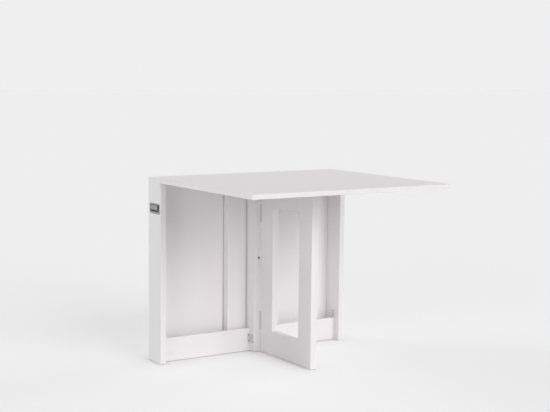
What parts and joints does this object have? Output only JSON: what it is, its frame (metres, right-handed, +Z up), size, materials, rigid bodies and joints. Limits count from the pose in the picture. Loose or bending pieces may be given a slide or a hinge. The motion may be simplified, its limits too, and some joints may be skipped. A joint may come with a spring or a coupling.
{
  "type": "folding console table",
  "caption": "White drop-leaf console table: a narrow standing body with a wide leaf hinged to its top, held up by a frame gate leg that swings out from a post.",
  "frame": {"origin": "on the floor under the middle of the opened top", "axes": "+X along the table, +Y towards the wall, +Z up"},
  "size_m": [0.9024, 0.7994, 0.75],
  "materials": {
    "white_lacquer": "satin white lacquer on board",
    "white_back_panel": "white faced thin board",
    "beech_dowel": "plain beech",
    "hinge_steel": "nickel plated steel",
    "bracket_steel": "zinc plated steel",
    "zinc_screw": "zinc plated steel",
    "handle_nickel": "satin nickel",
    "glide_plastic": "matt white plastic",
    "bumper_rubber": "dark rubber",
    "pad_plastic": "matt white plastic"
  },
  "bodies": {
    "console_body": {"back_panel": "white_back_panel", "body_glides": "glide_plastic", "bracket_screws": "zinc_screw", "centre_back_stile": "white_lacquer", "fixed_top": "white_lacquer", "gate_hinge_post_screws": "zinc_screw", "hinge_post": "white_lacquer", "leaf_bumper": "bumper_rubber", "leaf_hinge_1_pin": "hinge_steel", "leaf_hinge_1_top_plate": "hinge_steel", "leaf_hinge_2_pin": "hinge_steel", "leaf_hinge_2_top_plate": "hinge_steel", "leaf_hinge_3_pin": "hinge_steel", "leaf_hinge_3_top_plate": "hinge_steel", "leaf_hinge_4_pin": "hinge_steel", "leaf_hinge_4_top_plate": "hinge_steel", "leaf_hinge_top_screws": "zinc_screw", "left_end_board": "white_lacquer", "left_handle_pin": "handle_nickel", "left_handle_tray": "handle_nickel", "left_rail_bracket": "bracket_steel", "lower_gate_hinge_pin": "hinge_steel", "lower_gate_hinge_post_plate": "hinge_steel", "plinth_rail": "white_lacquer", "post_bracket": "bracket_steel", "rail_dowels": "beech_dowel", "right_end_board": "white_lacquer", "right_handle_pin": "handle_nickel", "right_handle_tray": "handle_nickel", "right_rail_bracket": "bracket_steel", "top_dowels": "beech_dowel", "upper_gate_hinge_pin": "hinge_steel", "upper_gate_hinge_post_plate": "hinge_steel"},
    "gate_leg": {"gate_bottom_rail": "white_lacquer", "gate_dowels": "beech_dowel", "gate_free_stile": "white_lacquer", "gate_glide": "glide_plastic", "gate_hinge_gate_screws": "zinc_screw", "gate_hinge_stile": "white_lacquer", "gate_top_pad": "pad_plastic", "gate_top_rail": "white_lacquer", "upper_gate_hinge_gate_plate": "hinge_steel", "lower_gate_hinge_gate_plate": "hinge_steel"},
    "leaf": {"leaf_board": "white_lacquer", "gate_stop_block": "white_lacquer", "leaf_hinge_leaf_screws": "zinc_screw", "leaf_hinge_1_leaf_plate": "hinge_steel", "leaf_hinge_2_leaf_plate": "hinge_steel", "leaf_hinge_3_leaf_plate": "hinge_steel", "leaf_hinge_4_leaf_plate": "hinge_steel"},
    "left_flap": {"left_handle_flap": "handle_nickel"},
    "right_flap": {"right_handle_flap": "handle_nickel"}
  },
  "joints": [
    {"name": "gate_swing", "type": "hinge", "parent": "console_body", "child": "gate_leg", "pos_m": [0.0199, 0.29375, 0.375], "axis": [0, 0, 1], "range_deg": [0, 90]},
    {"name": "leaf_lift", "type": "hinge", "parent": "console_body", "child": "leaf", "pos_m": [0, 0.293, 0.7285], "axis": [-1, 0, 0], "range_deg": [0, 3]},
    {"name": "left_flap_lift", "type": "hinge", "parent": "console_body", "child": "left_flap", "pos_m": [-0.4474, 0.34325, 0.6404], "axis": [0, 1, 0], "range_deg": [0, 75]},
    {"name": "right_flap_lift", "type": "hinge", "parent": "console_body", "child": "right_flap", "pos_m": [0.4474, 0.34325, 0.6404], "axis": [0, -1, 0], "range_deg": [0, 75]}
  ]
}
